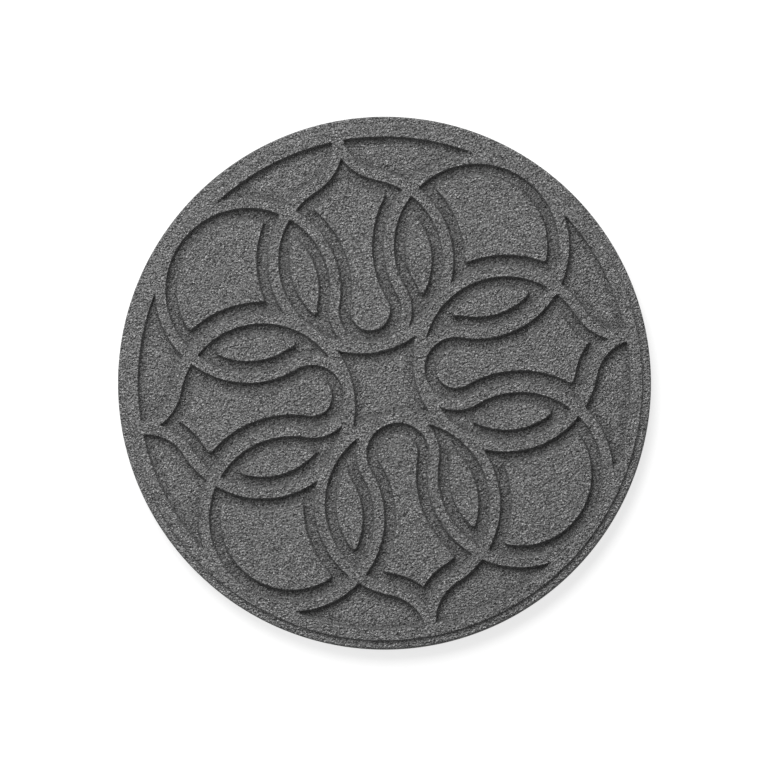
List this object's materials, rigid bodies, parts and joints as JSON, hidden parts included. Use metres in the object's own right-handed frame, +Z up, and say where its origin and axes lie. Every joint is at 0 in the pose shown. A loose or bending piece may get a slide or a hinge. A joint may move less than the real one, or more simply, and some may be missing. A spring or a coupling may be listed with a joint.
{
  "type": "garden stepping stone",
  "caption": "Round stepping stone moulded from rubber crumb, with a raised rosette of interlaced straps, islands and sunk grooves, and a low ledge round a flat raised top.",
  "frame": {"origin": "centre of the underside", "axes": "+Z up out of the patterned face, +Y through the tip of one petal, +X through the tip of the next"},
  "size_m": [0.4571, 0.4572, 0.019],
  "materials": {
    "crumb_rubber": "matt grey bound rubber crumb, grainy, with small dark pits and pale specks"
  },
  "bodies": {
    "root": {"stepping_stone": "crumb_rubber"}
  },
  "joints": []
}
